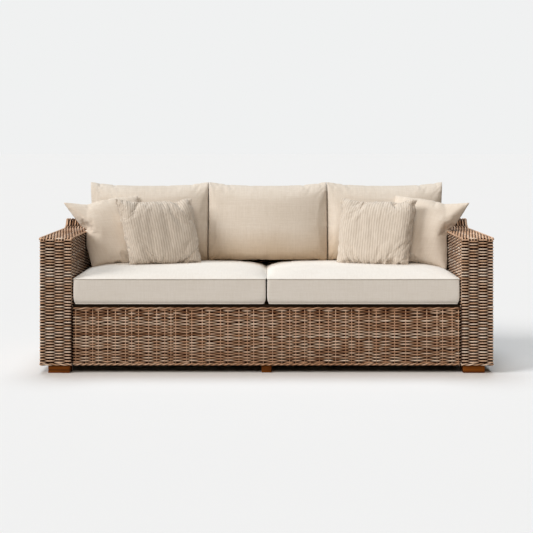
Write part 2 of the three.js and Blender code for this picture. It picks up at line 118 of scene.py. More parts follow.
def mathNode(tree, operation, *values):
    return addNode(tree, "Math", dict(enumerate(values)), operation=operation).outputs[0]


def weighted(tree, base, *parts):
    # the base and each part times its share, added up
    for value, share in parts:
        base = mathNode(tree, "MULTIPLY_ADD", value, share, base)
    return base


def rampNode(tree, fac, stops):
    ramp = addNode(tree, "ValToRGB", {"Fac": fac})
    while len(ramp.color_ramp.elements) < len(stops):
        ramp.color_ramp.elements.new(0.5)
    for element, (place, colour) in zip(ramp.color_ramp.elements, stops):
        element.position = place
        element.color = (*colour, 1)
    return ramp.outputs["Color"]


def tinted(tree, colour, tint):
    inputs = {"Factor": 1, "A": colour, "B": tint}
    return addNode(tree, "Mix", inputs, data_type="RGBA", blend_type="MULTIPLY").outputs["Result"]


def pointShare(tree, name):
    return addNode(tree, "Attribute", attribute_name=name).outputs["Fac"]


def ownMap(tree, name):
    return addNode(tree, "UVMap", uv_map=name).outputs["UV"]


def ownPlace(tree):
    return addNode(tree, "TexCoord").outputs["Object"]


def mappedNoise(tree, coordinate, scale, detail=3, roughness=0.5, distortion=0.0):
    mapping = addNode(tree, "Mapping", {"Vector": coordinate, "Scale": scale})
    noise = addNode(tree, "TexNoise", {
        "Vector": mapping.outputs["Vector"], "Scale": 1.0, "Detail": detail,
        "Roughness": roughness, "Distortion": distortion,
    })
    return noise.outputs["Fac"]


def newMaterial(name, specular, sheen=0.0):
    material = bpy.data.materials.new(name)
    material.use_nodes = True
    shader = material.node_tree.nodes["Principled BSDF"]
    shader.inputs["Specular IOR Level"].default_value = specular
    shader.inputs["Sheen Weight"].default_value = sheen
    return material, material.node_tree, shader


def wired(tree, shader, colour, pattern, look, height=None):
    # rough is the least roughness and what the pattern adds, bump its strength and its depth in metres
    least, added = look["rough"]
    strength, depth = look["bump"]
    height = pattern if height is None else height
    relief = addNode(tree, "Bump", {"Strength": strength, "Distance": depth, "Height": height})
    tree.links.new(colour, shader.inputs["Base Color"])
    tree.links.new(weighted(tree, least, (pattern, added)), shader.inputs["Roughness"])
    tree.links.new(relief.outputs["Normal"], shader.inputs["Normal"])


def seenDirectly(tree):
    # 1 for what the eye sees, itself or in a gloss or a glass, and 0 for what only lights the sofa
    path = addNode(tree, "LightPath")
    seen = mathNode(tree, "MAXIMUM", path.outputs["Is Camera Ray"], path.outputs["Is Glossy Ray"])
    return mathNode(tree, "MAXIMUM", seen, path.outputs["Is Transmission Ray"])


studio = {
    "ambient": 0.062, "ambientColour": (1, 0.80, 0.62), "backdrop": (0.871, 0.880, 0.880),
    "floorColour": (0.843, 0.848, 0.862), "floorBounce": (0.40, 0.39, 0.37), "floorSize": 600,
    "floorClouds": 1.004,  # how much paler the floor is in its palest places
}


def backgroundNodes():
    world = bpy.data.worlds.new("studio")
    scene.world = world
    world.use_nodes = True
    tree = world.node_tree
    tree.nodes.clear()
    ambient = (*studio["ambientColour"], 1)
    light = addNode(tree, "Background", {"Color": ambient, "Strength": studio["ambient"]})
    paper = addNode(tree, "Background", {"Color": (*studio["backdrop"], 1), "Strength": 1})
    mix = addNode(tree, "MixShader", {0: seenDirectly(tree), 1: light.outputs[0], 2: paper.outputs[0]})
    addNode(tree, "OutputWorld", {"Surface": mix.outputs[0]})


def floorNodes():
    material, tree, shader = newMaterial("pale_floor", 0.0)
    shader.inputs["Roughness"].default_value = 0.9
    cloud = mappedNoise(tree, ownPlace(tree), (0.6, 0.6, 0.6), 2)
    colour = studio["floorColour"]
    paler = tuple(value * studio["floorClouds"] for value in colour)
    tree.links.new(rampNode(tree, cloud, [(0.3, colour), (0.7, paler)]), shader.inputs["Base Color"])
    # the floor is as pale as this to the eye, but throws less light back up at the sofa
    duller = addNode(tree, "BsdfDiffuse", {"Color": (*studio["floorBounce"], 1)})
    mix = addNode(tree, "MixShader", {0: seenDirectly(tree), 1: duller.outputs[0], 2: shader.outputs[0]})
    tree.links.new(mix.outputs[0], tree.nodes["Material Output"].inputs["Surface"])
    return material


backgroundNodes()
bpy.ops.mesh.primitive_plane_add(size=studio["floorSize"], location=(0, 0, 0))
floor = bpy.context.object
floor.name = "floor"
floor.data.materials.append(floorNodes())

# the scales of the noises are in periods to a metre, and round a strand in periods to a turn
caneLook = {
    "specular": 0.1, "fibre": (26, 5, 1), "fibreShare": 0.55, "blotch": (9, 9, 16),
    "blotchShare": 0.5,
    "toneShift": -0.52,  # takes back the mean of fibre and blotch
    # painted shade: a strand is darkened by how deep its caneDepth says it lies in the weave, fully at the
    # deepest and not at all from the no-shade depth on
    "paintedShade": (0.035, 0.010, 0.003), "noShadeDepth": 0.95, "rough": (0.5, 0.3), "bump": (0.5, 0.0006),
}


def caneMaterial(name, dark, middle, light, fullShadeDepth):
    material, tree, shader = newMaterial(name, caneLook["specular"])
    fibre = mappedNoise(tree, ownMap(tree, "strandMap"), caneLook["fibre"], 4, 0.6)
    blotch = mappedNoise(tree, ownPlace(tree), caneLook["blotch"], 2)
    shade = weighted(tree, caneLook["toneShift"], (pointShare(tree, "caneTone"), 1),
                     (fibre, caneLook["fibreShare"]), (blotch, caneLook["blotchShare"]))
    colour = rampNode(tree, shade, [(0.0, dark), (0.5, middle), (1.0, light)])
    # painted shade: the hollows of the weave are darkened by the cane's depth
    paintedShade = rampNode(tree, pointShare(tree, "caneDepth"),
                     [(fullShadeDepth, caneLook["paintedShade"]), (caneLook["noShadeDepth"], (1, 1, 1))])
    wired(tree, shader, tinted(tree, colour, paintedShade), fibre, caneLook)
    return material


woodLook = {
    "growth": 2.0,  # along the grain
    "wander": (3, 14, 14), "wanderShare": 0.5, "stops": (0.55, 0.95), "roughAdded": 0.25,
    "bump": (0.35, 0.0008),
}


def woodMaterial(name, dark, light, leastRough, ringScale, specular=0.4):
    material, tree, shader = newMaterial(name, specular)
    drift = mappedNoise(tree, ownPlace(tree), woodLook["wander"])
    grain = mappedNoise(tree, ownPlace(tree), (woodLook["growth"], ringScale, ringScale), 6, distortion=0.8)
    shade = weighted(tree, 0, (grain, 1), (drift, woodLook["wanderShare"]))
    colour = rampNode(tree, shade, list(zip(woodLook["stops"], (dark, light))))
    wired(tree, shader, colour, grain, dict(woodLook, rough=(leastRough, woodLook["roughAdded"])))
    return material


zincLook = {
    "spangle": (300, 300, 300), "dark": (0.42, 0.42, 0.40), "light": (0.62, 0.62, 0.60),
    "rough": (0.2, 0.3), "bump": (0.2, 0.0003),
}


def zincMaterial(name):
    material, tree, shader = newMaterial(name, 0.5)
    shader.inputs["Metallic"].default_value = 1
    spangle = mappedNoise(tree, ownPlace(tree), zincLook["spangle"], 2)
    colour = rampNode(tree, spangle, [(0.3, zincLook["dark"]), (0.7, zincLook["light"])])
    wired(tree, shader, colour, spangle, zincLook)
    return material


linenLook = {
    "specular": 0.12, "sheen": 0.12, "threads": 900, "threadLength": 34, "yarnShare": 0.35,
    "slubs": ((7, 160, 1), (160, 9, 1)), "slubShare": 0.3, "cloud": (5, 5, 5), "cloudShare": 0.25,
    "contrast": 0.26, "footRise": 0.8, "footUneven": 0.4, "footEnd": 0.9,
    # painted shadow: the line under a seam is a thin darker band painted on the cloth
    "seamPlaces": (0.90, 0.955, 0.99),  # shares of the height between which the line under a seam lies
    "rough": (0.82, 0.1), "bump": (0.35, 0.0006),
}


def linenMaterial(name, dark, light, foot=None, seam=None):
    # foot darkens and warms the lower part of a standing cushion as painted shade, and seam paints a thin
    # painted shadow line on the cloth just under a top seam
    material, tree, shader = newMaterial(name, linenLook["specular"], linenLook["sheen"])
    cloth = ownMap(tree, "clothMap")
    threads, length = linenLook["threads"], linenLook["threadLength"]
    warp = mappedNoise(tree, cloth, (threads, length, 1), 2)
    weft = mappedNoise(tree, cloth, (length, threads, 1), 2)
    yarn = mathNode(tree, "ADD", warp, weft)
    cloudy = mappedNoise(tree, ownPlace(tree), linenLook["cloud"], 2)
    slubs = [(mappedNoise(tree, cloth, scale), linenLook["slubShare"]) for scale in linenLook["slubs"]]
    shade = weighted(tree, 0, *slubs, (yarn, linenLook["yarnShare"]), (cloudy, linenLook["cloudShare"]))
    middle = linenLook["slubShare"] + linenLook["yarnShare"] + linenLook["cloudShare"] / 2
    contrast = linenLook["contrast"]
    colour = rampNode(tree, shade, [(middle - contrast, dark), (middle + contrast, light)])
    # painted shade: the lower part of a standing cushion is darker and warmer, unevenly
    if foot:
        uneven = weighted(tree, linenLook["footRise"], (pointShare(tree, "shareZ"), 1),
                          (cloudy, linenLook["footUneven"]))
        stops = [(0.0, foot), (linenLook["footEnd"], (1, 1, 1))]
        colour = tinted(tree, colour, rampNode(tree, uneven, stops))
    # painted shadow: a thin darker line on the cloth just under a top seam
    if seam:
        stops = list(zip(linenLook["seamPlaces"], ((1, 1, 1), seam, (1, 1, 1))))
        colour = tinted(tree, colour, rampNode(tree, pointShare(tree, "shareZ"), stops))
    wired(tree, shader, colour, yarn, linenLook)
    return material


ribLook = {
    "yarn": (700, 60, 1), "broken": (60, 30, 1),
    "shares": (0.4, 0.35, 0.45),  # of rib, yarn and broken places
    "stops": (0.25, 0.85), "rough": (0.8, 0.12), "bump": (0.4, 0.0012),
}


def ribbedMaterial(name, valley, ridge):
    # the ridge share of each vertex says where the ribs stand; the ridges are painted paler as painted
    # highlight and the valleys darker as painted shade
    material, tree, shader = newMaterial(name, linenLook["specular"], linenLook["sheen"])
    cloth = ownMap(tree, "clothMap")
    yarn = mappedNoise(tree, cloth, ribLook["yarn"])
    broken = mappedNoise(tree, cloth, ribLook["broken"])
    shade = weighted(tree, 0, *zip((pointShare(tree, "ribShare"), yarn, broken), ribLook["shares"]))
    colour = rampNode(tree, shade, list(zip(ribLook["stops"], (valley, ridge))))
    wired(tree, shader, colour, yarn, ribLook, mathNode(tree, "ADD", yarn, broken))
    return material


caneFinish = caneMaterial("woven_cane", (0.13, 0.045, 0.014), (0.71, 0.46, 0.305), (1.0, 0.89, 0.78), 0.30)
skirtFinish = caneMaterial("skirt_cane", (0.16, 0.056, 0.018), (0.57, 0.338, 0.208), (0.87, 0.70, 0.555), 0.1)
timberFinish = woodMaterial("frame_timber", (0.22, 0.13, 0.07), (0.46, 0.31, 0.18), 0.58, 60)
footFinish = woodMaterial("stained_foot", (0.07, 0.018, 0.002), (0.26, 0.075, 0.007), 0.48, 70, 0.12)
zincFinish = zincMaterial("zinc_bolt")
# painted shade: nearly black, as the inside of the frame in shade
shadeSheetFinish = woodMaterial("painted_shade_sheet", (0.018, 0.011, 0.007), (0.035, 0.022, 0.014), 0.78, 300, 0.05)
# the seat's seam tint is a painted shadow line under its top seam
seatFinish = linenMaterial("seat_linen", (0.755, 0.715, 0.66), (0.885, 0.858, 0.825), seam=(0.50, 0.44, 0.37))
# the back's foot tint is painted shade on the lower part of the cushions
backFinish = linenMaterial("back_linen", (0.62, 0.55, 0.465), (0.79, 0.73, 0.66), foot=(0.72, 0.61, 0.48))
plainFinish = linenMaterial("plain_linen", (0.67, 0.585, 0.49), (0.82, 0.75, 0.67))
# painted shade in the rib valleys and painted highlight on the ridges
stripedFinish = ribbedMaterial("ribbed_cloth", (0.50, 0.43, 0.355), (0.72, 0.655, 0.58))
print("stage and materials ready")

armLow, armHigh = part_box("right_arm_weave")
topLow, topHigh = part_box("right_arm_top_weave")
skirtLow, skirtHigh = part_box("front_skirt_weave")
backLow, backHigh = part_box("back_weave")
sofa = {
    "skin": 0.014, "sweepLength": 0.077, "cornerRadius": 0.008, "edgeRadius": 0.009,
    "proud": 0.003,  # how far the strands of an arm's outer side stand out
    "overhang": 0.018,  # how far the top strip of an arm turns down at its ends
    "hidden": 0.013,  # how far the inner weave goes on under the top of the slats
    "rim": 0.008,  # how far under a top edge the stakes end
    "endGap": 0.001,
}
armInner, armOuter = armLow.x, armHigh.x + sofa["proud"]
front, rear = armLow.y, armHigh.y
bottom = armLow.z
armTop = topLow.z + sofa["skin"]
backTop = topHigh.z
backFace = backLow.y
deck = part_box("seat_slat_1")[1].z
sweepStart = backFace - sofa["sweepLength"]


def wander(places, spacing, seed):
    # a smooth random curve from -1 to 1 with a new knot at each spacing
    steps = np.asarray(places) / spacing
    steps = steps - steps.min()
    knots = np.random.default_rng(seed).uniform(-1, 1, int(steps.max()) + 3)
    low = np.floor(steps).astype(int)
    share = steps - low
    share = share * share * (3 - 2 * share)
    return knots[low] * (1 - share) + knots[low + 1] * share


def runTable(points, outSide, spacing=0.001):
    # a flat run as a table of places along it, points and outward normals
    points = np.array(points, float)
    keep = np.r_[True, np.linalg.norm(np.diff(points, axis=0), axis=1) > 1e-7]
    points = points[keep]
    along = np.r_[0, np.cumsum(np.linalg.norm(np.diff(points, axis=0), axis=1))]
    dense = np.r_[np.arange(0, along[-1], spacing), along[-1]]
    points = np.stack([np.interp(dense, along, points[:, k]) for k in (0, 1)], 1)
    slope = np.gradient(points, dense, axis=0)
    outs = np.stack([slope[:, 1], -slope[:, 0]], 1) * outSide
    return {"along": dense, "points": points, "outs": outs, "length": dense[-1]}


def sampleRun(run, along):
    points, outs = [np.stack([np.interp(along, run["along"], run[key][:, k]) for k in (0, 1)], 1)
                    for key in ("points", "outs")]
    return points, outs / np.linalg.norm(outs, axis=1)[:, None]


def roundedCorners(corners, radius, steps=8):
    points = [corners[0]]
    for before, corner, after in zip(corners, corners[1:], corners[2:]):
        arrive = (Vector(corner) - Vector(before)).normalized()
        leave = (Vector(after) - Vector(corner)).normalized()
        middle = Vector(corner) - arrive * radius + leave * radius
        for step in range(steps + 1):
            turn = math.pi / 2 * step / steps
            points.append(tuple(middle - leave * radius * math.cos(turn) + arrive * radius * math.sin(turn)))
    points.append(corners[-1])
    return points


def carried(axis):
    # a flat run becomes rows in space: the place across the rows goes in at this axis
    def lift(flat, across, outs):
        return np.insert(flat, axis, across, axis=1), np.insert(outs, axis, 0.0, axis=1)

    return lift


standing, lying, alongTop = carried(2), carried(0), carried(1)


strandLook = {"leastLength": 0.3, "mostLength": 1.1, "tone": 0.55}


def strandTone(along, seed, spread=0.3):
    # each cane is a length of its own, with its own tone
    rng = np.random.default_rng(seed)
    tone = np.zeros(len(along))
    place = along[0] - rng.uniform(0, 0.5)
    while place < along[-1]:
        length = rng.uniform(strandLook["leastLength"], strandLook["mostLength"])
        tone[along >= place] = strandLook["tone"] + spread * rng.triangular(-1, 0, 1)
        place += length
    return tone


def layStrand(strands, centres, outs, *values):
    # the values are its radius, tone and depth, each for the whole strand or for every point
    spread = [np.broadcast_to(value, len(centres)).astype(float) for value in values]
    strands.append((centres, outs, *spread))


def layRod(strands, run, lift, along, inward, across, *values):
    # a strand whose middle lies this far inside its run
    flat, outs = sampleRun(run, along)
    centres, outs = lift(flat - outs * np.reshape(inward, (-1, 1)), across, outs)
    layStrand(strands, centres, outs, *values)


def placesAlong(start, end, step):
    return np.linspace(start, end, max(3, round((end - start) / step) + 1))


weaveLook = {
    "rodRadius": 0.0032,
    "rodPitch": 0.00714,  # two rows make one visible band of the photo
    "swing": 0.0050,  # how far a row goes in and out round the stakes
    "swingDrift": 0.12, "squareness": 1.4, "stakePitch": 0.0455, "stakeRadius": 0.0036,
    "stakeProud": -0.0015, "stakeTone": 0.05, "stakeDepth": 0.35, "stakeStep": 0.09, "step": 0.0076,
    "calm": 0.25,  # the share of the swing that is lost in the calmest places
    "calmLength": 0.11, "swingLength": 0.03, "sway": 0.0012, "swayLength": 0.16, "jitter": 0.0004,
    "jitterLength": 0.05, "thickDrift": 0.07, "thickLength": 0.08, "flatten": 0.06,
    "tone": 0.1, "toneSpread": 0.3, "cornerWrap": 0.3, "wrapLength": 0.010, "paleRow": None,
    "paleTone": 0.3,
    "lowSwing": 1.0,  # the share of the swing that is left at floor height
    "innerShade": 0.32, "innerReach": 0.32, "creviceShade": 0.9, "creviceWidth": 0.009,
}


def weave(strands, run, lift, rows, reach, stakes, stakeReach, look, seed, corners=()):
    radius, swing = look["rodRadius"], look["swing"]
    phase = np.arange(len(stakes)) * math.pi
    for row, across in enumerate(rows):
        lowCalm = look["lowSwing"] + (1 - look["lowSwing"]) * min(1, across / deck)
        for start, end in reach(across):
            if end - start < look["step"]:
                continue
            along = placesAlong(start, end, look["step"])
            turn = np.interp(along, stakes, phase) + math.pi * row
            calmer = 0.5 + 0.5 * wander(along + 7 * across, look["calmLength"], seed + row // 5)
            crossing = np.tanh(look["squareness"] * np.cos(turn)) / math.tanh(look["squareness"])
            for corner in corners:
                wrapped = look["cornerWrap"] * np.exp(-((along - corner) / look["wrapLength"]) ** 2)
                crossing = crossing * (1 - wrapped) + wrapped
            swell = swing * (1 - look["calm"] * calmer) * lowCalm
            swell = swell * (1 + look["swingDrift"] * wander(along, look["swingLength"], seed + 3 * row))
            thick = radius * (1 + look["thickDrift"] * wander(along, look["thickLength"], seed + 4000 + row))
            thick = thick * (1 + look["flatten"] * crossing)
            inward = thick + swing - swell * crossing
            heights = (across + look["sway"] * wander(along + 1, look["swayLength"], seed + 1000 + row // 3)
                       + look["jitter"] * wander(along, look["jitterLength"], seed + 2000 + row))
            # painted shade: a strand is painted darker where it goes in behind a stake
            depth = np.clip(0.5 + 0.5 * crossing, 0, 1)
            if corners:
                # painted shade: an arm's inner face is painted darker towards the back, where little light
                # comes beside the pillows
                fromFront = np.clip((corners[0] - along) / look["innerReach"], 0, 1)
                depth = depth * (1 - look["innerShade"] * fromFront)
            if corners and across < deck:
                # painted shade: the crevice beside the skirt is painted darker
                shadedCrevice = np.exp(-((along - corners[0]) / look["creviceWidth"]) ** 2)
                depth = depth * (1 - look["creviceShade"] * shadedCrevice)
            tone = strandTone(along, seed + 5000 + row, look["toneSpread"]) + look["tone"]
            if look["paleRow"] and abs(across - look["paleRow"]) < look["rodPitch"] / 2:
                tone = tone + look["paleTone"]
            layRod(strands, run, lift, along, inward, heights, thick, tone, depth)
    for number, place in enumerate(stakes):
        for low, high in stakeReach(place):
            across = np.linspace(low, high, max(3, round((high - low) / look["stakeStep"])))
            tone = strandTone(across, seed + 9000 + number) * 0.5 + look["stakeTone"]
            layRod(strands, run, lift, np.full(len(across), place), radius + swing - look["stakeProud"],
                   across, look["stakeRadius"], tone, look["stakeDepth"])


def wholeRun(run):
    # every row goes from one end of its run to the other
    return lambda across: [(sofa["endGap"], run["length"] - sofa["endGap"])]


borderLook = {
    "count": 2, "rodRadius": 0.0034, "twistRadius": 0.0034, "pitch": 0.075, "tone": 0.05,
    "uneven": 0.15,
    "hollow": 0.35,  # the depth where a cane of the border goes under the other
    "endGap": 0.002,
}
borderWidth = 2 * (borderLook["rodRadius"] + borderLook["twistRadius"])


def twist(strands, run, across, start, look, seed, end=None):
    # canes laid round each other as a border
    along = placesAlong(start, end or run["length"] - start, look["pitch"] / 10)
    for strand in range(look["count"]):
        turn = along / look["pitch"] * 2 * math.pi + strand * 2 * math.pi / look["count"]
        reach = look["twistRadius"] * (1 + look["uneven"] * wander(along, 0.06, seed + strand))
        inward = look["twistRadius"] + look["rodRadius"] - reach * np.cos(turn)
        # painted shade: a border cane is painted darker where it goes under the other
        depth = look["hollow"] + (1 - look["hollow"]) * (0.5 + 0.5 * np.cos(turn))
        layRod(strands, run, standing, along, inward, across + reach * np.sin(turn), look["rodRadius"],
               strandTone(along, seed + 40 + strand) + look["tone"], depth)


edgeLook = {"sunk": 0.0008, "step": 0.012, "tone": -0.12, "depth": 0.8}


def edgeRod(strands, run, lift, across, end, radius, seed):
    along = np.linspace(end, run["length"] - end, round((run["length"] - 2 * end) / edgeLook["step"]))
    layRod(strands, run, lift, along, radius + edgeLook["sunk"], across, radius,
           strandTone(along, seed) + edgeLook["tone"], edgeLook["depth"])


def strandMesh(name, strands, finish, mapName="strandMap", around=1.0, sides=5):
    turns = np.arange(sides)[:, None] * 2 * math.pi / sides
    turnShares = np.arange(sides + 1) / sides
    points, faces, maps, tones, depths = [], [], [], [], []
    count = 0
    for centres, outs, radius, tone, depth in strands:
        tangent = np.gradient(centres, axis=0)
        tangent /= np.linalg.norm(tangent, axis=1)[:, None]
        side = np.cross(tangent, outs)
        side /= np.linalg.norm(side, axis=1)[:, None]
        lifted = np.cross(side, tangent)
        spokes = np.cos(turns) * lifted[:, None] + np.sin(turns) * side[:, None]
        rings = len(centres)
        points += [(centres[:, None] + radius[:, None, None] * spokes).reshape(-1, 3), centres[[0, -1]]]
        for store, values in ((tones, tone), (depths, depth)):
            store.append(np.r_[np.repeat(values, sides), values[[0, -1]]])
        grid = count + np.arange(rings * sides).reshape(rings, sides)
        following = np.roll(grid, -1, axis=1)
        faces += np.stack([grid[:-1], following[:-1], following[1:], grid[1:]], -1).reshape(-1, 4).tolist()
        startCap = count + rings * sides
        faces += [(startCap, following[0, k], grid[0, k]) for k in range(sides)]
        faces += [(startCap + 1, grid[-1, k], following[-1, k]) for k in range(sides)]
        # each strand's map starts at a place of its own, so that no two have the same fibres
        along = np.r_[0, np.cumsum(np.linalg.norm(np.diff(centres, axis=0), axis=1))] + count * 0.0137
        u0, u1 = along[:-1, None], along[1:, None]
        v0, v1 = turnShares[:-1], turnShares[1:]
        quadMap = [np.broadcast_to(each, (rings - 1, sides)) for each in (u0, v0, u0, v1, u1, v1, u1, v0)]
        maps.append(np.stack(quadMap, -1).ravel())
        maps += [np.tile([end, 0.5], 3 * sides) for end in (along[0], along[-1])]
        count += rings * sides + 2
    mesh = bpy.data.meshes.new(name)
    mesh.from_pydata(np.concatenate(points).tolist(), [], faces)
    flat = np.concatenate(maps).astype(np.float32).reshape(-1, 2) * np.array([1, around], np.float32)
    mesh.uv_layers.new(name=mapName).data.foreach_set("uv", flat.ravel())
    for label, values in (("caneTone", tones), ("caneDepth", depths)):
        layer = mesh.attributes.new(label, "FLOAT", "POINT")
        layer.data.foreach_set("value", np.concatenate(values).astype(np.float32))
    mesh.polygons.foreach_set("use_smooth", np.ones(len(mesh.polygons), bool))
    mesh.materials.append(finish)
    piece = bpy.data.objects.new(name, mesh)
    scene.collection.objects.link(piece)
    return piece


def copyOf(piece, name):
    twin = piece.copy()
    twin.data = piece.data.copy()
    twin.name = name
    scene.collection.objects.link(twin)
    return twin


def turnedOver(piece):
    # the right side's piece becomes the left side's
    piece.data.transform(Matrix.Scale(-1, 4, (1, 0, 0)))
    piece.data.flip_normals()
    return piece


def ownedBy(piece, body, nodes):
    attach(piece, body)
    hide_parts(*nodes)


def sweepHeight(y):
    # the top line of an arm: level, then up in a hollow quarter turn to the back
    share = np.clip((np.asarray(y, float) - sweepStart) / sofa["sweepLength"], 0, 1)
    return backTop - (backTop - armTop) * np.sqrt(1 - share * share)


def sweepPlace(z):
    share = np.clip((backTop - z) / (backTop - armTop), 0, 1)
    return sweepStart + sofa["sweepLength"] * math.sqrt(1 - share * share)


armLook = {
    "topEdge": 0.006,  # how far under the top strip the rows end
    "stakeFoot": 0.004,
    "mostStakes": 40,  # to each side of the outer front corner
}


def armWalls():
    strands = []
    radius, skin, pitch = sofa["cornerRadius"], sofa["skin"], weaveLook["rodPitch"]
    corners = [(armInner, backFace + skin), (armInner, front), (armOuter, front),
               (armOuter, rear), (armOuter - skin - radius, rear)]
    run = runTable(roundedCorners(corners, radius), 1)
    turnLoss = (2 - math.pi / 2) * radius
    innerLength = backFace + skin - front - turnLoss / 2
    outerStart = innerLength + (armOuter - armInner) - turnLoss
    pastSkirt = backFace + skin - skirtHigh.y
    innerBottom = deck - sofa["hidden"]

    def reach(z):
        start = 0.0 if z > innerBottom else pastSkirt
        if z < armTop - armLook["topEdge"]:
            return [(start, run["length"])]
        place = sweepPlace(z + armLook["topEdge"])
        return [(skin, backFace + skin - place), (outerStart + place - front - turnLoss / 2, run["length"])]

    def stakeReach(along):
        y = sampleRun(run, np.array([along]))[0][0, 1]
        low = bottom + armLook["stakeFoot"] if along > pastSkirt else innerBottom
        return [(low, float(sweepHeight(y)) - sofa["rim"])]

    borderTop = bottom + borderWidth
    rows = borderTop + (np.arange(round((backTop - skin - borderTop) / pitch)) + 0.5) * pitch
    rows = rows[rows < backTop - skin]
    bends = (innerLength - radius / 2, outerStart - math.pi / 4 * radius)
    # one stake stands in the outer front corner, and the others are counted off from it
    most = armLook["mostStakes"]
    stakes = bends[1] + np.arange(-most, most) * weaveLook["stakePitch"]
    stakes = stakes[(stakes > armLook["stakeFoot"]) & (stakes < run["length"] - armLook["stakeFoot"])]
    weave(strands, run, standing, rows, reach, stakes, stakeReach, weaveLook, 11, bends)
    twist(strands, run, (bottom + borderTop) / 2, pastSkirt, borderLook, 51, run["length"])
    return strandMesh("right_arm_cane", strands, caneFinish)


def topLine(steps=16):
    radius = sofa["edgeRadius"]
    frontEnd = [(front, armTop - sofa["overhang"]), (front, armTop), (sweepStart, armTop)]
    points = roundedCorners(frontEnd, radius)
    for step in range(1, steps + 1):
        turn = math.pi / 2 * step / steps
        z = backTop - (backTop - armTop) * math.cos(turn)
        if z < backTop - radius:
            points.append((sweepStart + sofa["sweepLength"] * math.sin(turn), z))
    points += roundedCorners([(backFace, backTop - radius - sofa["endGap"]), (backFace, backTop),
                              (rear, backTop), (rear, backTop - sofa["overhang"])], radius)
    return runTable(points, -1)


armTopLook = dict(
    weaveLook, step=0.0085, sway=0.0006, tone=-0.1, swing=0.0042,
    side=0.005,  # what the edge rods take at each side
    stakeSide=0.003, firstStake=0.03, lastStake=0.02, edgeRadius=0.0042, edgeEnd=0.004,
)


def armTops():
    strands = []
    run = topLine()
    look = armTopLook
    width = armOuter - armInner - 2 * look["side"]
    count = round(width / look["rodPitch"])
    columns = armInner + look["side"] + (np.arange(count) + 0.5) * width / count
    stakes = np.arange(look["firstStake"], run["length"] - look["lastStake"], look["stakePitch"])
    weave(strands, run, lying, columns, lambda x: [(0, run["length"])], stakes,
          lambda along: [(armInner + look["stakeSide"], armOuter - look["stakeSide"])], look, 77)
    radius = look["edgeRadius"]
    for number, x in enumerate((armInner + radius, armOuter - radius)):
        edgeRod(strands, run, lying, x, look["edgeEnd"], radius, 90 + number)
    return strandMesh("right_arm_top_cane", strands, caneFinish)


for makeArm, node in ((armWalls, "arm_weave"), (armTops, "arm_top_weave")):
    right = makeArm()
    left = turnedOver(copyOf(right, right.name.replace("right", "left")))
    ownedBy(right, "sofa_frame", ["right_" + node])
    ownedBy(left, "sofa_frame", ["left_" + node])
print("arms woven")

skirtLook = dict(
    weaveLook, step=0.0078, swing=0.0018, squareness=1.2, calm=0.8, calmLength=0.075, sway=0.0014,
    jitter=0.0011, stakeRadius=0.0023, stakeProud=0.0012, stakeTone=0.36, stakeDepth=0.85, rodPitch=0.0072,
    rodRadius=0.0034, flatten=0.10, tone=0.02, toneSpread=0.5, paleRow=0.134, lowSwing=0.4,
    setBack=0.004,  # how far the rows stand behind the borders
    topDrop=0.012,  # the seat cushions hang over a dark gap
    rowJitter=0.0004,
    stakeGap=(0.022, 0.056),  # the least and the most between two stakes
    stakeCount=70,
    stakeEnd=0.004,
    firstStake=0.014,
    lastStake=0.008,
)


def skirtWeave():
    strands = []
    look = skirtLook
    run, proud = [runTable([(skirtLow.x, y), (skirtHigh.x, y)], 1)
                  for y in (skirtLow.y + look["setBack"], skirtLow.y)]
    radius = look["rodRadius"]
    low, high = skirtLow.z + borderWidth, skirtHigh.z - look["topDrop"] - borderWidth
    rows = np.linspace(low + radius, high - radius, round((high - low) / look["rodPitch"]))
    rng = np.random.default_rng(5)
    rows = rows + rng.uniform(-1, 1, len(rows)) * look["rowJitter"]
    gaps = rng.uniform(*look["stakeGap"], look["stakeCount"])
    stakes = look["firstStake"] + np.r_[0, np.cumsum(gaps)]
    stakes = stakes[stakes < run["length"] - look["lastStake"] - look["stakeEnd"]]
    stakes = np.r_[stakes, run["length"] - look["lastStake"]]
    weave(strands, run, standing, rows, wholeRun(run), stakes,
          lambda along: [(low - look["stakeEnd"], high + look["stakeEnd"])], look, 211)
    for z, pitch, tone, seed in ((skirtLow.z + borderWidth / 2, 0.06, 0.0, 251),
                                 (high + borderWidth / 2, 0.09, -0.2, 261)):
        twist(strands, proud, z, borderLook["endGap"], dict(borderLook, pitch=pitch, tone=tone), seed)
    return strandMesh("front_skirt_cane", strands, skirtFinish)


backWeaveLook = dict(
    weaveLook, step=0.0114, firstStake=0.012, stakeFoot=0.006,
    topStakeEnd=0.004, edgeRadius=0.0044, edgePlace=0.0048,
)


def uprightRows(run, low, high, seed):
    strands = []
    look = backWeaveLook
    rows = low + (np.arange(round((high - low) / look["rodPitch"])) + 0.5) * look["rodPitch"]
    stakes = np.arange(look["firstStake"], run["length"], look["stakePitch"])
    weave(strands, run, standing, rows, wholeRun(run), stakes,
          lambda along: [(low - look["stakeFoot"], high)], look, seed)
    return strands


def backOuterWeave():
    run = runTable([(backHigh.x, rear), (backLow.x, rear)], 1)
    strands = uprightRows(run, bottom + borderWidth, backTop - sofa["skin"], 311)
    twist(strands, run, bottom + borderWidth / 2, borderLook["endGap"], borderLook, 351)
    return strandMesh("back_outer_cane", strands, caneFinish)


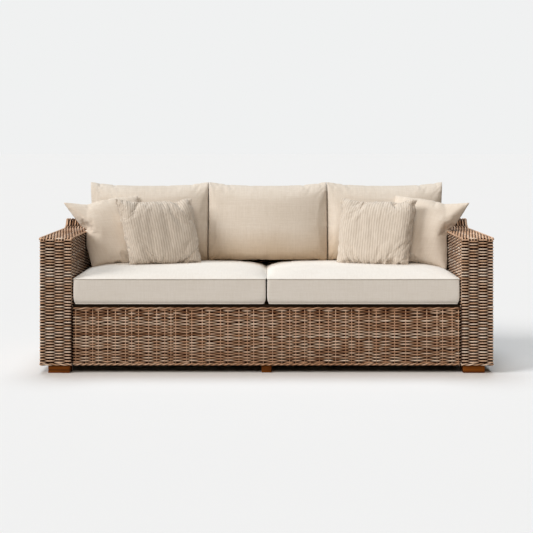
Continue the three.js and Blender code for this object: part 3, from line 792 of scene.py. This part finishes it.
def backInnerWeave():
    look = backWeaveLook
    run = runTable([(-armInner, backFace), (armInner, backFace)], 1)
    strands = uprightRows(run, deck - sofa["hidden"], backTop - sofa["rim"], 411)
    # the rods of the top strip run along X
    run = runTable([(-armInner, backTop), (armInner, backTop)], -1)
    columns = np.linspace(backFace + sofa["rim"], rear - sofa["rim"],
                          round((rear - backFace) / look["rodPitch"]))
    stakes = np.arange(look["firstStake"], run["length"], look["stakePitch"])
    weave(strands, run, alongTop, columns, wholeRun(run), stakes,
          lambda along: [(backFace + look["topStakeEnd"], rear - look["topStakeEnd"])], look, 511)
    for number, y in enumerate((backFace + look["edgePlace"], rear - look["edgePlace"])):
        edgeRod(strands, run, alongTop, y, sofa["endGap"], look["edgeRadius"], 590 + number)
    return strandMesh("back_inner_cane", strands, caneFinish)


shadeSheetLook = {
    "depth": 0.0145, "thickness": 0.0012, "foot": 0.004, "frontHalf": 0.064,
    "cornerReach": (-0.020, 0.014),  # past the arm's inner side
    "backFoot": 0.010, "armFoot": 0.012, "cornerTop": 0.020,  # under the top of the slats
    "cornerGap": 0.0003,
}


def makeShadeSheets():
    # sheets inside the weave, so that no light comes through it, painted nearly black as painted shade of the
    # frame's inside
    depth, thick = shadeSheetLook["depth"], shadeSheetLook["thickness"]
    foot = bottom + shadeSheetLook["foot"]
    corner = skirtHigh.y + shadeSheetLook["cornerGap"]
    walls = [
        ((skirtLow.x, skirtLow.y + depth, foot), (skirtHigh.x, skirtLow.y + depth + thick, skirtHigh.z)),
        ((-armInner, backFace + depth, deck - shadeSheetLook["backFoot"]),
         (armInner, backFace + depth + thick, backTop - depth)),
        ((backLow.x, rear - depth - thick, foot), (backHigh.x, rear - depth, backTop - depth)),
    ]
    for side in (-1, 1):
        for x, low in ((armInner + depth, deck - shadeSheetLook["armFoot"]), (armOuter - depth, foot)):
            walls.append(((side * x - thick / 2, front + depth, low),
                          (side * x + thick / 2, rear - depth, armTop - depth)))
        ends = sorted(side * (armInner + past) for past in shadeSheetLook["cornerReach"])
        walls.append(((ends[0], corner, foot), (ends[1], corner + thick, deck - shadeSheetLook["cornerTop"])))
        middle = side * (armInner + armOuter) / 2
        walls.append(((middle - shadeSheetLook["frontHalf"], front + depth, foot),
                      (middle + shadeSheetLook["frontHalf"], front + depth + thick, armTop - depth)))
    bpy.ops.object.select_all(action="DESELECT")
    sheets = []
    for low, high in walls:
        low, high = Vector(low), Vector(high)
        bpy.ops.mesh.primitive_cube_add(size=1, location=(low + high) / 2, scale=high - low)
        sheets.append(bpy.context.object)
    for sheet in sheets:
        sheet.select_set(True)
    bpy.ops.object.join()
    shadeSheets = bpy.context.object
    shadeSheets.name = "cane_shade_sheets"
    bpy.ops.object.transform_apply(location=True, rotation=True, scale=True)
    shadeSheets.data.materials.append(shadeSheetFinish)
    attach(shadeSheets, "sofa_frame")


makeShadeSheets()
ownedBy(skirtWeave(), "sofa_frame", ["front_skirt_weave"])
ownedBy(backOuterWeave(), "sofa_frame", ["back_weave"])
ownedBy(backInnerWeave(), "sofa_frame", ["back_weave"])
print("skirt and back woven")

footLook = {"bevel": 0.0025, "bevelSteps": 3, "smoothAngle": math.radians(40)}


def makeFoot(name, node):
    bpy.ops.object.select_all(action="DESELECT")
    low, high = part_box(node)
    bpy.ops.mesh.primitive_cube_add(size=1, location=(low + high) / 2, scale=high - low)
    foot = bpy.context.object
    foot.name = name
    bpy.ops.object.transform_apply(location=True, rotation=True, scale=True)
    bpy.ops.object.mode_set(mode="EDIT")
    bpy.ops.mesh.select_all(action="SELECT")
    bpy.ops.mesh.bevel(offset=footLook["bevel"], segments=footLook["bevelSteps"], affect="EDGES")
    bpy.ops.object.mode_set(mode="OBJECT")
    bpy.ops.object.shade_smooth_by_angle(angle=footLook["smoothAngle"])
    foot.data.materials.append(footFinish)
    return foot


for node in sorted(frame["nodes"]):
    solid = frame["nodes"][node]
    if node.startswith("foot_") and "bolt" not in node:
        ownedBy(makeFoot(node.replace("foot_", "wood_foot_"), node), "sofa_frame", [node])
    elif "bolt" in node:
        solid.material_slots[0].material = zincFinish
    elif solid["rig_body"] == "sofa_frame" and "weave" not in node:
        solid.material_slots[0].material = timberFinish
print("feet and frame finished")


def boxOfShares(name, cuts):
    # a box whose points go from -1 to 1, cut along each axis: a cushion is shaped from these shares
    bpy.ops.object.select_all(action="DESELECT")
    bpy.ops.mesh.primitive_cube_add(size=2)
    piece = bpy.context.object
    piece.name = name
    piece.data.name = name
    for axis in range(3):
        bpy.ops.object.mode_set(mode="EDIT")
        bpy.ops.mesh.select_mode(type="EDGE")
        bpy.ops.mesh.select_all(action="DESELECT")
        shell = bmesh.from_edit_mesh(piece.data)
        for edge in shell.edges:
            first, second = edge.verts
            edge.select = abs(first.co[axis] - second.co[axis]) > 1.9
        bmesh.update_edit_mesh(piece.data)
        if cuts[axis] > 1:
            bpy.ops.mesh.subdivide(number_cuts=cuts[axis] - 1)
        bpy.ops.object.mode_set(mode="OBJECT")
    return piece


def readPoints(piece, field="co"):
    values = np.zeros(len(piece.data.vertices) * 3)
    piece.data.vertices.foreach_get(field, values)
    return values.reshape(-1, 3)


def writePoints(piece, points):
    piece.data.vertices.foreach_set("co", np.ascontiguousarray(points, float).ravel())
    piece.data.update()


def pickOnly(piece):
    bpy.ops.object.select_all(action="DESELECT")
    bpy.context.view_layer.objects.active = piece
    piece.select_set(True)


shareNames = ("shareX", "shareY", "shareZ")


def keepShares(piece, shares):
    # the shares stay on the mesh, so that they are still known after it is subdivided
    for label, values in zip(shareNames, shares.T):
        layer = piece.data.attributes.new(label, "FLOAT", "POINT")
        layer.data.foreach_set("value", values.astype(np.float32))


def keptShares(piece):
    shares = np.zeros((3, len(piece.data.vertices)), np.float32)
    for label, values in zip(shareNames, shares):
        piece.data.attributes[label].data.foreach_get("value", values)
    return shares.T.astype(float)


def eased(shares, amounts):
    amounts = np.array(amounts)
    return shares * (1 - amounts) + np.sin(shares * math.pi / 2) * amounts


def layCloth(piece, shares, size):
    # the cloth's own map in metres: each panel of the box is laid flat
    layer = piece.data.uv_layers.new(name="clothMap")
    corners = np.zeros(len(piece.data.loops), int)
    piece.data.loops.foreach_get("vertex_index", corners)
    flat = np.zeros((len(corners), 2))
    scaled = shares * np.array(size) / 2
    for face in piece.data.polygons:
        middle = shares[list(face.vertices)].mean(0)
        axis = int(np.argmax(np.abs(middle)))
        first, second = ((1, 2), (0, 2), (0, 1))[axis]
        for loop in face.loop_indices:
            vertex = corners[loop]
            flat[loop] = (scaled[vertex, first] + 3 * axis, scaled[vertex, second] + middle[axis])
    layer.data.foreach_set("uv", flat.astype(np.float32).ravel())
    while len(piece.data.uv_layers) > 1:
        other = [each for each in piece.data.uv_layers if each.name != "clothMap"][0]
        piece.data.uv_layers.remove(other)


def subdivided(piece):
    pickOnly(piece)
    bpy.ops.object.modifier_add(type="SUBSURF")
    piece.modifiers[-1].levels = 1
    piece.modifiers[-1].render_levels = 1
    bpy.ops.object.modifier_apply(modifier=piece.modifiers[-1].name)
    piece.data.polygons.foreach_set("use_smooth", np.ones(len(piece.data.polygons), bool))


def roughen(piece, amount, seed, axes=(1, 1, 1)):
    # a little unevenness, from which the creases of the simulation start
    points = readPoints(piece)
    rng = np.random.default_rng(seed)
    writePoints(piece, points + rng.uniform(-amount, amount, points.shape) * np.array(axes))


def onBorder(shares):
    return np.maximum(np.abs(shares[:, 0]), np.abs(shares[:, 2])) > 0.9999


def seamJoined(piece):
    # the front and the back of a cover meet in one seam
    points = readPoints(piece)
    points[onBorder(keptShares(piece)), 1] = 0
    writePoints(piece, points)
    pickOnly(piece)
    bpy.ops.object.mode_set(mode="EDIT")
    bpy.ops.mesh.select_all(action="SELECT")
    bpy.ops.mesh.remove_doubles(threshold=0.00001)
    bpy.ops.object.mode_set(mode="OBJECT")


def blownUp(piece, look):
    # a short cloth simulation fills the cover, so that it creases where sewn cloth does
    before = readPoints(piece)
    pickOnly(piece)
    bpy.ops.object.modifier_add(type="CLOTH")
    cloth = piece.modifiers[-1]
    fabric = {
        "quality": 5, "tension_stiffness": 15, "compression_stiffness": 15, "shear_stiffness": 5,
        "mass": look["mass"], "bending_stiffness": look["bending"], "shrink_min": -look["spareCloth"],
        "use_pressure": True, "uniform_pressure_force": look["pressure"],
    }
    for key, value in fabric.items():
        setattr(cloth.settings, key, value)
    if "seamPull" in look:
        border = piece.vertex_groups.new(name="border")
        border.add(np.where(onBorder(keptShares(piece)))[0].tolist(), 1.0, "REPLACE")
        cloth.settings.vertex_group_shrink = "border"
        cloth.settings.shrink_max = look["seamPull"]
    cloth.settings.effector_weights.gravity = 0
    cloth.collision_settings.use_collision = False
    cloth.point_cache.frame_start = 1
    cloth.point_cache.frame_end = look["frames"]
    for moment in range(1, look["frames"] + 1):
        scene.frame_set(moment)
    bpy.ops.object.modifier_apply(modifier=cloth.name)
    scene.frame_set(1)
    moved = readPoints(piece) - before
    travel = np.linalg.norm(moved, axis=1)[:, None]
    writePoints(piece, before + moved * np.minimum(1, look["cap"] / np.maximum(travel, 1e-9)))


def gathered(piece, width, height, look, seed, seamWidth=0.006):
    # small gathers run in from the seams round the front and the back of a pad
    shares = keptShares(piece)
    across, up = shares[:, 0] * width / 2, shares[:, 2] * height / 2
    fromSide, fromEnd = width / 2 - np.abs(across), height / 2 - np.abs(up)
    # each face and each seam has gathers of its own
    face = np.where(shares[:, 1] > 0, 0.5, 0.0)
    pitch, reach = look["gatherPitch"], look["gatherReach"]
    ends = wander(across + face + (up > 0) * 1.7, pitch, seed) * np.exp(-fromEnd / reach)
    sides = wander(up + face + (across > 0) * 1.3, pitch, seed + 1) * np.exp(-fromSide / reach)
    offSeam = np.clip(np.minimum(fromSide, fromEnd) / seamWidth, 0, 1)
    lift = (ends + sides) * look["gather"] * offSeam
    writePoints(piece, readPoints(piece) + readPoints(piece, "normal") * lift[:, None])


def dressed(piece, finish):
    piece.data.materials.clear()
    piece.data.materials.append(finish)


seatLook = {
    "height": 0.122, "crown": 0.034, "bulge": 0.0015, "cornerPull": 0.0035, "footRound": 0.009,
    "cuts": (84, 74, 12),
    "easing": (0.5, 0.5, 0.3),  # how far the cuts draw together at the seams
    "pipingRadius": 0.0023,
    "pipingProud": 0.6,  # the share of its radius by which it stands out
    "fill": 0.9, "roughness": 0.0004, "mass": 0.3, "bending": 0.3, "spareCloth": 0.006,
    "pressure": 0.12, "frames": 14, "cap": 0.004, "seed": 21,
}
seatLow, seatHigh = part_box("right_seat_cushion")
seatMiddle = (seatLow + seatHigh) / 2
seatHalf = (seatHigh - seatLow) / 2


def seatCrown(across, along):
    return seatLook["crown"] * (1 - across ** 8) * (1 - along ** 4)


def seatPlace(shares):
    across, along, up = shares.T
    inset = (seatLook["bulge"] * up ** 2 + seatLook["cornerPull"] * (across * along) ** 12
             + seatLook["footRound"] * np.clip(-up, 0, 1) ** 6)
    crown = np.where(up > 0, seatCrown(across, along), 0)
    return np.column_stack([
        across * (seatHalf.x - inset),
        along * (seatHalf.y - inset),
        (up + 1) * seatLook["height"] / 2 + crown * np.clip(up, 0, 1) ** 3,
    ])


def seatPiping(name, piece, shares):
    # a thin cord sewn into the seams round the top and the foot of the seat's sides
    strands = []
    radius = seatLook["pipingRadius"]
    points = readPoints(piece)[: len(shares)]
    for up in (-1, 1):
        ring = np.where((shares[:, 2] == up) & (np.max(np.abs(shares[:, :2]), axis=1) == 1))[0]
        ring = ring[np.argsort(np.arctan2(shares[ring, 1], shares[ring, 0]))]
        path = points[np.r_[ring, ring[:2]]]
        away = path - path[:-2].mean(0)
        away[:, 2] = 0
        path = path + away / np.linalg.norm(away, axis=1)[:, None] * radius * seatLook["pipingProud"]
        layStrand(strands, path, np.tile([0.0, 0.0, 1.0], (len(path), 1)), radius, 0.5, 1.0)
    return strandMesh(name, strands, seatFinish, "clothMap", 2 * math.pi * radius)


def makeSeats():
    pad = boxOfShares("right_seat_pad", seatLook["cuts"])
    shares = readPoints(pad)
    layCloth(pad, shares, (2 * seatHalf.x, 2 * seatHalf.y, seatLook["height"]))
    bent = eased(shares, seatLook["easing"])
    writePoints(pad, seatPlace(bent))
    keepShares(pad, bent)
    roughen(pad, seatLook["roughness"], seatLook["seed"])
    blownUp(pad, seatLook)
    points = readPoints(pad)
    points[:, 2] = np.maximum(points[:, 2], 0)
    points[:, :2] = np.clip(points[:, :2], -np.array(seatHalf.xy), np.array(seatHalf.xy))
    writePoints(pad, points + np.array([seatMiddle.x, seatMiddle.y, seatLow.z]))
    subdivided(pad)
    dressed(pad, seatFinish)
    piping = seatPiping("right_seat_piping", pad, shares)
    for piece in (pad, piping):
        twin = turnedOver(copyOf(piece, piece.name.replace("right", "left")))
        ownedBy(piece, "seat_right", ["right_seat_cushion"])
        ownedBy(twin, "seat_left", ["left_seat_cushion"])


makeSeats()
print("seat cushions done")

backLook = {
    "height": 0.414, "thickness": 0.226, "edge": 0.010,
    "sideDepth": 0.08,  # how deep two neighbours touch at half height
    "sideGap": 0.0022, "frameGap": 0.0003, "armGap": 0.0015, "topGap": 0.001,
    "lean": math.tan(math.radians(13)), "dip": 0.016, "spread": 0.017, "standingShare": 0.9,
    "fullPower": 0.40, "cuts": (80, 3, 54),
    "easing": (0.5, 0, 0.5), "fill": 0.75, "roughness": 0.0005, "mass": 0.3, "bending": 0.15,
    "spareCloth": 0.012, "pressure": 1.2, "frames": 16, "cap": 0.010, "seed": 31, "gather": 0.0012,
    "gatherPitch": 0.019, "gatherReach": 0.020,
}


def fullness(across, up, flatShare, power):
    standingUp = np.where(up < 0, up * flatShare, up)
    return np.maximum((1 - across ** 2) * (1 - standingUp ** 2), 0) ** power


def backShape(shares, halfRun):
    across, depth, up = shares.T
    full = fullness(across, up, backLook["standingShare"], backLook["fullPower"])
    side = backLook["edge"] + backLook["sideDepth"] * (1 - np.abs(up) ** 9) * np.abs(across) ** 6
    half = (side + (backLook["thickness"] - side) * full) / 2
    rise = (up + 1) / 2
    dip = backLook["dip"] * (1 - across ** 2) * rise ** 3
    return np.column_stack([across * halfRun, depth * half, rise * backLook["height"] - dip])


def makeBacks():
    runs = {name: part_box(f"{name}_back_cushion") for name in ("left", "centre", "right")}
    bottomZ = runs["centre"][0].z
    reach = (backTop - bottomZ + backLook["topGap"]) * backLook["lean"] + backLook["thickness"] / 2
    middleY = backFace - backLook["frameGap"] - reach
    halfRun = (runs["centre"][1].x - runs["centre"][0].x) / 2
    spare = (runs["centre"][0].x - runs["left"][1].x - backLook["sideGap"]) / 2
    model = boxOfShares("back_model", backLook["cuts"])
    bent = eased(readPoints(model), backLook["easing"])
    layCloth(model, bent, (2 * halfRun, 2 * backLook["edge"], backLook["height"]))
    writePoints(model, backShape(bent, halfRun))
    keepShares(model, bent)
    roughen(model, backLook["roughness"], backLook["seed"])
    held = readPoints(model)[:, 0]
    blownUp(model, backLook)
    # the neighbours on both sides hold its ends
    shape = readPoints(model)
    share = np.abs(bent[:, 0]) ** 6
    shape[:, 0] = shape[:, 0] * (1 - share) + held * share
    writePoints(model, shape)
    shape = readPoints(model)
    for name, side, turned in (("left", -1, 1), ("centre", 0, -1), ("right", 1, -1)):
        pad = copyOf(model, f"{name}_back_pad")
        local = shape * np.array([turned, turned, 1])
        # the inner ends keep to the frame's boxes, the outer ends spread over the arms
        low, high = runs[name]
        inner, outer = low.x - spare, high.x + spare
        if side < 0:
            inner, outer = outer, inner
        if side:
            outer = side * (armInner - backLook["armGap"])
        middleX, half = (inner + outer) / 2, abs(outer - inner) / 2
        across = np.clip(local[:, 0] / halfRun, -1, 1)
        rise = np.clip(local[:, 2] / backLook["height"], 0, 1)
        spread = side * backLook["spread"] * rise ** 3 * (1 + side * across) / 2
        height = np.maximum(local[:, 2], 0)
        writePoints(pad, np.column_stack([
            middleX + across * half + spread,
            middleY + local[:, 1] + height * backLook["lean"],
            bottomZ + height,
        ]))
        subdivided(pad)
        gathered(pad, 2 * half, backLook["height"], backLook, 60 + side)
        dressed(pad, backFinish)
        ownedBy(pad, f"back_{name}", [f"{name}_back_cushion"])
    bpy.data.objects.remove(model)


makeBacks()
print("back cushions done")

pillowLook = {
    "yaw": math.radians(20), "lean": math.tan(math.radians(22)), "gap": 0.006, "overlap": 0.86,
    "backGap": 0.037, "seatGap": 0.001, "armGap": 0.002, "seamWidth": 0.004, "startFull": 0.020,
    "startSize": 1.02, "dentReach": 0.12,
    "shift": {"left": 0.0, "right": 0.028},
    "ribPitch": 0.0115, "ribHeight": 0.0008,
}
plainLook = {
    "width": 0.402, "height": 0.350, "thickness": 0.150, "tilt": math.tan(math.radians(19)),
    "ear": 0.016,  # what the sides lose between their corners
    "armGap": 0.035, "inFront": 0.0, "cuts": (60, 1, 52), "fill": 0.55, "mass": 0.3,
    "bending": 0.04, "spareCloth": 0.045, "pressure": 1.9, "frames": 32, "cap": 1.0, "taper": 0.0,
    "dent": 0.008, "dentHeight": 0.15, "seed": 41, "roughness": 0.0003, "gather": 0.0016,
    "gatherPitch": 0.013, "gatherReach": 0.024,
}
stripedLook = dict(
    plainLook, height=0.336, thickness=0.130, tilt=math.tan(math.radians(5)), ear=0.012, armGap=0.232,
    cuts=(96, 1, 72), fill=0.6, mass=0.14, bending=0.02, spareCloth=0.04, seamPull=0.045, pressure=2.2,
    frames=28, taper=0.044, dent=0.0, seed=43, roughness=0.0007, gather=0.0043,
)
stripedLook["inFront"] = (
    (plainLook["thickness"] + stripedLook["thickness"]) / 2 * pillowLook["overlap"] + pillowLook["gap"])


def seatSurface(x, y):
    across = np.minimum(1, np.abs(np.abs(x) - seatMiddle.x) / seatHalf.x)
    along = np.minimum(1, np.abs(y - seatMiddle.y) / seatHalf.y)
    return seatLow.z + seatLook["height"] + seatCrown(across, along)


def footMiddle(size):
    yaw = pillowLook["yaw"]
    x = armInner - size["armGap"] - size["width"] / 2 * math.cos(yaw)
    innerEndX = armInner - plainLook["armGap"] - plainLook["width"] * math.cos(yaw)
    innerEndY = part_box("right_back_cushion")[0].y - pillowLook["backGap"]
    return x, innerEndY - (x - innerEndX) * math.tan(yaw) - size["inFront"] / math.cos(yaw)


def filledCover(piece, size):
    # the cover before its lean and turn: across, depth, and height over its lower corners
    shares = keptShares(piece)
    across, depth, up = shares.T
    start = pillowLook["startSize"]
    lens = np.sqrt(np.maximum((1 - across ** 2) * (1 - up ** 2), 0))
    dent = size["dent"] * np.exp(-((up - size["dentHeight"]) / pillowLook["dentReach"]) ** 2)
    writePoints(piece, np.column_stack([
        across * (size["width"] / 2 * start - dent * np.abs(across) ** 3),
        np.where(onBorder(shares), 0, depth * (pillowLook["seamWidth"] + pillowLook["startFull"] * lens)),
        up * size["height"] / 2 * start,
    ]))
    roughen(piece, size["roughness"], size["seed"], (0, 1, 0))
    blownUp(piece, size)
    points = readPoints(piece)
    corner = (np.abs(across) > 0.9999) & (np.abs(up) > 0.9999)
    lowest = points[corner & (up < 0), 2].mean()
    highest = points[corner & (up > 0), 2].mean()
    points[:, 0] *= size["width"] / 2 / np.abs(points[corner, 0]).mean()
    points[:, 1] *= min(1, size["thickness"] / np.ptp(points[:, 1]))
    points[:, 2] = (points[:, 2] - lowest) / (highest - lowest) * size["height"]
    # it stands on its lower seam, which its own weight straightens
    foot = up < -0.9999
    order = np.argsort(across[foot])
    sag = np.interp(across, across[foot][order], points[foot, 2][order])
    rise = np.clip(points[:, 2] / size["height"], 0, 1)
    points[:, 2] = np.maximum(points[:, 2] - sag * (1 - rise) ** 2, 0)
    points[:, 0] *= 1 + size["taper"] * (2 * rise - 1)
    return points


def pillowPlace(points, size, shift):
    yaw = pillowLook["yaw"]
    footX, footY = footMiddle(size)
    height = points[:, 2]
    outward = points[:, 0] + height * size["tilt"]
    backward = points[:, 1] + height * pillowLook["lean"]
    x = footX + shift * (1 - height / size["height"]) + outward * math.cos(yaw) + backward * math.sin(yaw)
    y = footY - outward * math.sin(yaw) + backward * math.cos(yaw)
    return np.column_stack([x, y, seatSurface(x, y) + pillowLook["seatGap"] + height])


def pressedByArm(points):
    # what would lie in the arm is pushed out by the shorter way, beside it or over it
    points = points.copy()
    side, top = armInner - pillowLook["armGap"], armTop + pillowLook["armGap"]
    beside, over = points[:, 0] - side, top - points[:, 2]
    inside = (beside > 0) & (over > 0)
    points[inside & (beside <= over), 0] = side
    points[inside & (beside > over), 2] = top
    return points


def ribbed(piece, size):
    # the fine ribs run up the cover, and waver a little on their way
    shares = keptShares(piece)
    across, upward = shares[:, 0] * size["width"] / 2, shares[:, 2] * size["height"] / 2
    drift = 0.0012 * np.sin(upward * 27 + 2 * np.sin(across * 17))
    drift = drift + 0.0004 * np.sin(upward * 170 + across * 97)
    share = 0.5 + 0.5 * np.cos((across + drift) / pillowLook["ribPitch"] * 2 * math.pi)
    layer = piece.data.attributes.new("ribShare", "FLOAT", "POINT")
    layer.data.foreach_set("value", share.astype(np.float32))
    lift = (share - 0.6) * pillowLook["ribHeight"]
    writePoints(piece, readPoints(piece) + readPoints(piece, "normal") * lift[:, None])


def makePillows(kind, size, finish):
    model = boxOfShares(f"{kind}_model", size["cuts"])
    shares = readPoints(model)
    layCloth(model, shares, (size["width"], 2 * pillowLook["seamWidth"], size["height"]))
    keepShares(model, shares)
    seamJoined(model)
    shape = filledCover(model, size)
    for side, turned in (("right", 1), ("left", -1)):
        pad = copyOf(model, f"{side}_{kind}_pad")
        points = pillowPlace(shape * np.array([turned, turned, 1]), size, pillowLook["shift"][side])
        if kind == "plain":
            points = pressedByArm(points)
        writePoints(pad, points)
        subdivided(pad)
        gathered(pad, size["width"], size["height"], size, size["seed"] + turned)
        if kind == "striped":
            ribbed(pad, size)
        if side == "left":
            turnedOver(pad)
        dressed(pad, finish)
        ownedBy(pad, f"pillow_{side}_{kind}", [f"{side}_{kind}_pillow"])
    bpy.data.objects.remove(model)


makePillows("plain", plainLook, plainFinish)
makePillows("striped", stripedLook, stripedFinish)
print("pillows done")

faces = sum(len(piece.data.polygons) for piece in scene.objects if piece.type == "MESH")
print("faces in all", faces)
